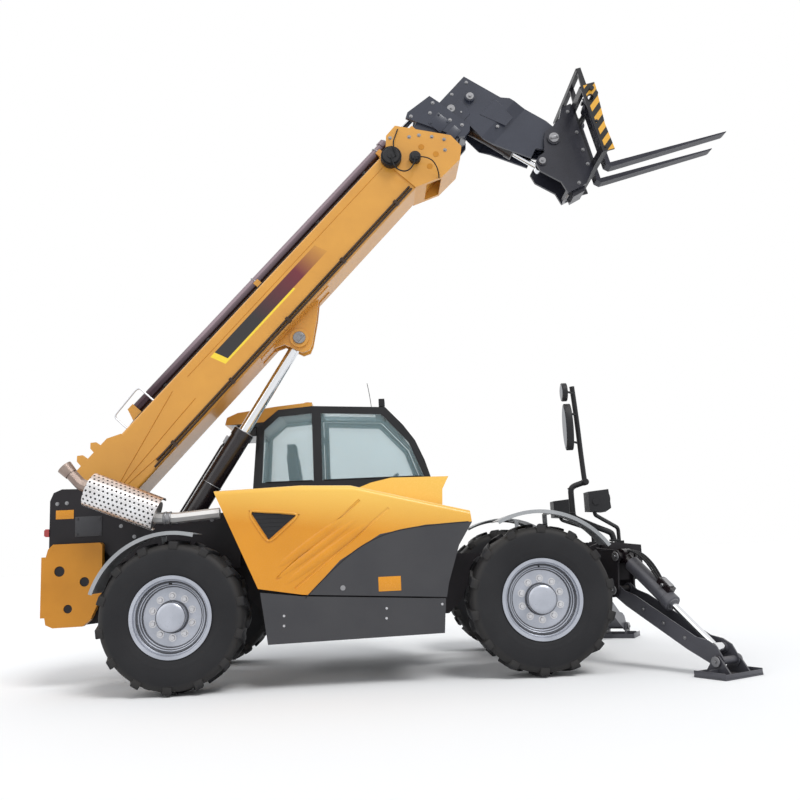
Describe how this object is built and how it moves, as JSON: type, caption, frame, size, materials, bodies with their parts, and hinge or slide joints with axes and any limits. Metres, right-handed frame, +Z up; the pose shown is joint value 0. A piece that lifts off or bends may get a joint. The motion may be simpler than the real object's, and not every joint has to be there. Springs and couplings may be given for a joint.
{
  "type": "telehandler",
  "caption": "Telehandler with a raised telescopic boom, pallet forks on a tilting carriage, side cab, side engine hood, steered wheels and front stabilisers.",
  "frame": {"origin": "middle of the bounding box's footprint, on the floor", "axes": "+X forward along the machine, +Y to the machine's left, +Z up"},
  "size_m": [6.7844, 3.5476, 5.8692],
  "materials": {
    "boom_yellow": "satin",
    "cab_black": "satin",
    "cap_black": "matte",
    "carriage_black": "satin",
    "chassis_charcoal": "satin",
    "engine_grey": "rough",
    "exhaust_steel": "dull",
    "fender_grey": "matte",
    "glass_teal": "clear",
    "head_blue_grey": "satin",
    "hood_yellow": "gloss",
    "interior_dark": "matte",
    "lamp_black": "matte",
    "lamp_red": "gloss",
    "panel_grey": "satin",
    "rim_silver": "satin",
    "rod_chrome": "polished",
    "stabiliser_grey": "satin",
    "steel_silver": "brushed",
    "tank_black": "matte",
    "tyre_black": "matte"
  },
  "bodies": {
    "chassis": {"chassis_frame": "chassis_charcoal", "chassis_pins": "steel_silver", "counterweight": "boom_yellow", "tail_lamps": "lamp_red", "front_axle": "chassis_charcoal", "rear_axle": "chassis_charcoal", "engine_block": "engine_grey", "engine_bearers": "chassis_charcoal", "hood_rail": "chassis_charcoal", "side_skirt": "panel_grey", "fuel_tank": "tank_black", "cab_steps": "chassis_charcoal", "cab_shell": "cab_black", "cab_glass": "glass_teal", "cab_roof_cap": "cab_black", "roof_lamp": "lamp_black", "cab_interior": "interior_dark", "exhaust": "exhaust_steel", "exhaust_shield": "steel_silver", "mirror_mast": "lamp_black", "head_lamps": "lamp_black"},
    "boom": {"boom_base": "boom_yellow", "boom_caps": "cap_black", "boom_pipes": "steel_silver", "telescope_barrel": "carriage_black"},
    "boom_mid": {"boom_mid": "head_blue_grey", "telescope_rod": "rod_chrome"},
    "boom_inner": {"boom_inner": "head_blue_grey"},
    "carriage": {"hitch": "carriage_black", "fork_frame": "carriage_black", "forks": "carriage_black"},
    "lift_barrel": {"lift_barrel": "carriage_black"},
    "lift_rod": {"lift_rod": "rod_chrome"},
    "tilt_barrel": {"tilt_barrel": "carriage_black"},
    "tilt_rod": {"tilt_rod": "rod_chrome"},
    "door": {"door_frame": "cab_black", "door_glass": "glass_teal"},
    "hood": {"hood_cowl": "hood_yellow", "hood_lower_panel": "panel_grey"},
    "leg_right": {"leg_right": "stabiliser_grey"},
    "pad_right": {"pad_right": "stabiliser_grey"},
    "leg_barrel_right": {"leg_barrel_right": "carriage_black"},
    "leg_rod_right": {"leg_rod_right": "rod_chrome"},
    "knuckle_front_right": {"knuckle_front_right": "fender_grey"},
    "wheel_front_right": {"tyre_front_right": "tyre_black", "rim_front_right": "rim_silver"},
    "knuckle_rear_right": {"knuckle_rear_right": "fender_grey"},
    "wheel_rear_right": {"tyre_rear_right": "tyre_black", "rim_rear_right": "rim_silver"},
    "leg_left": {"leg_left": "stabiliser_grey"},
    "pad_left": {"pad_left": "stabiliser_grey"},
    "leg_barrel_left": {"leg_barrel_left": "carriage_black"},
    "leg_rod_left": {"leg_rod_left": "rod_chrome"},
    "knuckle_front_left": {"knuckle_front_left": "fender_grey"},
    "wheel_front_left": {"tyre_front_left": "tyre_black", "rim_front_left": "rim_silver"},
    "knuckle_rear_left": {"knuckle_rear_left": "fender_grey"},
    "wheel_rear_left": {"tyre_rear_left": "tyre_black", "rim_rear_left": "rim_silver"}
  },
  "joints": [
    {"name": "boom_lift", "type": "hinge", "parent": "chassis", "child": "boom", "pos_m": [-2.77181, 0, 1.7162], "axis": [0, -1, 0], "range_deg": [-46, 23]},
    {"name": "telescope_mid", "type": "slide", "parent": "boom", "child": "boom_mid", "axis": [0.6871, 0, 0.7266], "range_m": [0, 3.5]},
    {"name": "telescope_inner", "type": "slide", "parent": "boom_mid", "child": "boom_inner", "axis": [0.6871, 0, 0.7266], "range_m": [0, 3.5]},
    {"name": "carriage_tilt", "type": "hinge", "parent": "boom_inner", "child": "carriage", "pos_m": [1.63104, 0, 5.15681], "axis": [0, 1, 0], "range_deg": [-45, 60]},
    {"name": "lift_barrel_swing", "type": "hinge", "parent": "chassis", "child": "lift_barrel", "pos_m": [-2.55921, 0, 0.764], "axis": [0, -1, 0], "range_deg": [-36.55, 18.28]},
    {"name": "lift_stroke", "type": "slide", "parent": "lift_barrel", "child": "lift_rod", "axis": [0.5374, 0, 0.8433], "range_m": [-0.7798, 0.3909]},
    {"name": "tilt_barrel_swing", "type": "hinge", "parent": "boom_inner", "child": "tilt_barrel", "pos_m": [0.59394, 0, 5.51407], "axis": [0, 1, 0], "range_deg": [-0.73, 0.56]},
    {"name": "tilt_stroke", "type": "slide", "parent": "tilt_barrel", "child": "tilt_rod", "axis": [0.8307, 0, -0.5568], "range_m": [-0.2608, 0.1961]},
    {"name": "stabiliser_right", "type": "hinge", "parent": "chassis", "child": "leg_right", "pos_m": [1.80879, -0.62, 0.64], "axis": [-0.8746, -0.4848, 0], "range_deg": [-9, 72]},
    {"name": "leg_barrel_swing_right", "type": "hinge", "parent": "chassis", "child": "leg_barrel_right", "pos_m": [1.83788, -0.67248, 0.93], "axis": [-0.8746, -0.4848, 0], "range_deg": [-9.31, 74.5]},
    {"name": "leg_stroke_right", "type": "slide", "parent": "leg_barrel_right", "child": "leg_rod_right", "axis": [0.3785, -0.6828, -0.6249], "range_m": [-0.3563, 0.0463]},
    {"name": "pad_tilt_right", "type": "hinge", "parent": "leg_right", "child": "pad_right", "pos_m": [2.31784, -1.53835, 0.118], "axis": [-0.8746, -0.4848, 0], "range_deg": [-20, 20]},
    {"name": "stabiliser_left", "type": "hinge", "parent": "chassis", "child": "leg_left", "pos_m": [1.80879, 0.62, 0.64], "axis": [0.8746, -0.4848, 0], "range_deg": [-9, 72]},
    {"name": "leg_barrel_swing_left", "type": "hinge", "parent": "chassis", "child": "leg_barrel_left", "pos_m": [1.83788, 0.67248, 0.93], "axis": [0.8746, -0.4848, 0], "range_deg": [-9.31, 74.5]},
    {"name": "leg_stroke_left", "type": "slide", "parent": "leg_barrel_left", "child": "leg_rod_left", "axis": [0.3785, 0.6828, -0.6249], "range_m": [-0.3563, 0.0463]},
    {"name": "pad_tilt_left", "type": "hinge", "parent": "leg_left", "child": "pad_left", "pos_m": [2.31784, 1.53835, 0.118], "axis": [0.8746, -0.4848, 0], "range_deg": [-20, 20]},
    {"name": "steer_front_left", "type": "hinge", "parent": "chassis", "child": "knuckle_front_left", "pos_m": [0.98879, 0.76, 0.62], "axis": [0, 0, 1], "range_deg": [-35, 35]},
    {"name": "roll_front_left", "type": "hinge", "parent": "knuckle_front_left", "child": "wheel_front_left", "pos_m": [0.98879, 0.99, 0.62], "axis": [0, 1, 0], "continuous": true},
    {"name": "steer_front_right", "type": "hinge", "parent": "chassis", "child": "knuckle_front_right", "pos_m": [0.98879, -0.76, 0.62], "axis": [0, 0, 1], "range_deg": [-35, 35]},
    {"name": "roll_front_right", "type": "hinge", "parent": "knuckle_front_right", "child": "wheel_front_right", "pos_m": [0.98879, -0.99, 0.62], "axis": [0, 1, 0], "continuous": true},
    {"name": "steer_rear_left", "type": "hinge", "parent": "chassis", "child": "knuckle_rear_left", "pos_m": [-2.04121, 0.76, 0.62], "axis": [0, 0, 1], "range_deg": [-35, 35]},
    {"name": "roll_rear_left", "type": "hinge", "parent": "knuckle_rear_left", "child": "wheel_rear_left", "pos_m": [-2.04121, 0.99, 0.62], "axis": [0, 1, 0], "continuous": true},
    {"name": "steer_rear_right", "type": "hinge", "parent": "chassis", "child": "knuckle_rear_right", "pos_m": [-2.04121, -0.76, 0.62], "axis": [0, 0, 1], "range_deg": [-35, 35]},
    {"name": "roll_rear_right", "type": "hinge", "parent": "knuckle_rear_right", "child": "wheel_rear_right", "pos_m": [-2.04121, -0.99, 0.62], "axis": [0, 1, 0], "continuous": true},
    {"name": "door_swing", "type": "hinge", "parent": "chassis", "child": "door", "pos_m": [-0.87821, 1.164, 1.7], "axis": [0, 0, 1], "range_deg": [0, 85]},
    {"name": "hood_lift", "type": "hinge", "parent": "chassis", "child": "hood", "pos_m": [-0.64121, -0.395, 1.61], "axis": [-1, 0, 0], "range_deg": [0, 60]}
  ],
  "couplings": [
    {"joint": "telescope_inner", "follows": "telescope_mid", "ratio": 1},
    {"joint": "lift_barrel_swing", "follows": "boom_lift", "ratio": 0.779},
    {"joint": "lift_stroke", "follows": "boom_lift", "m_per_rad": 0.9498},
    {"joint": "tilt_barrel_swing", "follows": "carriage_tilt", "ratio": -0.01111},
    {"joint": "tilt_stroke", "follows": "carriage_tilt", "m_per_rad": -0.24232},
    {"joint": "leg_barrel_swing_right", "follows": "stabiliser_right", "ratio": 1.0145},
    {"joint": "leg_stroke_right", "follows": "stabiliser_right", "m_per_rad": -0.27639},
    {"joint": "leg_barrel_swing_left", "follows": "stabiliser_left", "ratio": 1.0145},
    {"joint": "leg_stroke_left", "follows": "stabiliser_left", "m_per_rad": -0.27639},
    {"joint": "steer_front_right", "follows": "steer_front_left", "ratio": 1},
    {"joint": "steer_rear_right", "follows": "steer_rear_left", "ratio": 1}
  ]
}
